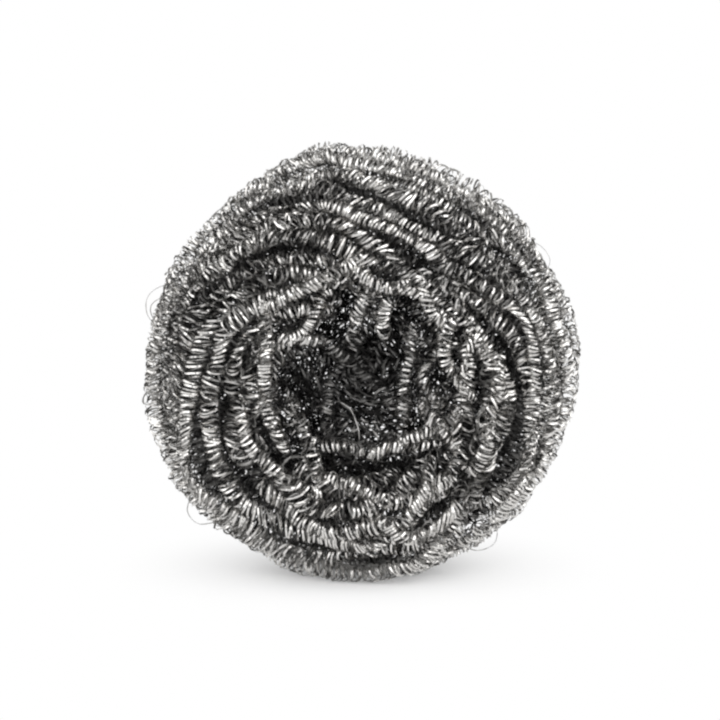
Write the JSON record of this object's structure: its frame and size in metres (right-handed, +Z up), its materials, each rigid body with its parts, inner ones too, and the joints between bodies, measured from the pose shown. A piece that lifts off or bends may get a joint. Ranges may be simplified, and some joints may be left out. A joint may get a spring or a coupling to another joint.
{
  "type": "stainless steel scourer",
  "caption": "Squashed ball of coiled flat stainless steel wire, wound turn beside turn around an open dimple, for scouring pans.",
  "frame": {"origin": "middle of the small flat pressed into the underside, where the ball stands on its rim", "axes": "+Z up; the winding axis runs along Y and the open dimple faces -Y; +X to the right of someone who looks into the dimple"},
  "size_m": [0.0889, 0.0526, 0.0883],
  "materials": {
    "steel": "bright rolled flat wire"
  },
  "bodies": {
    "root": {"wound_coil": "steel"}
  },
  "joints": []
}
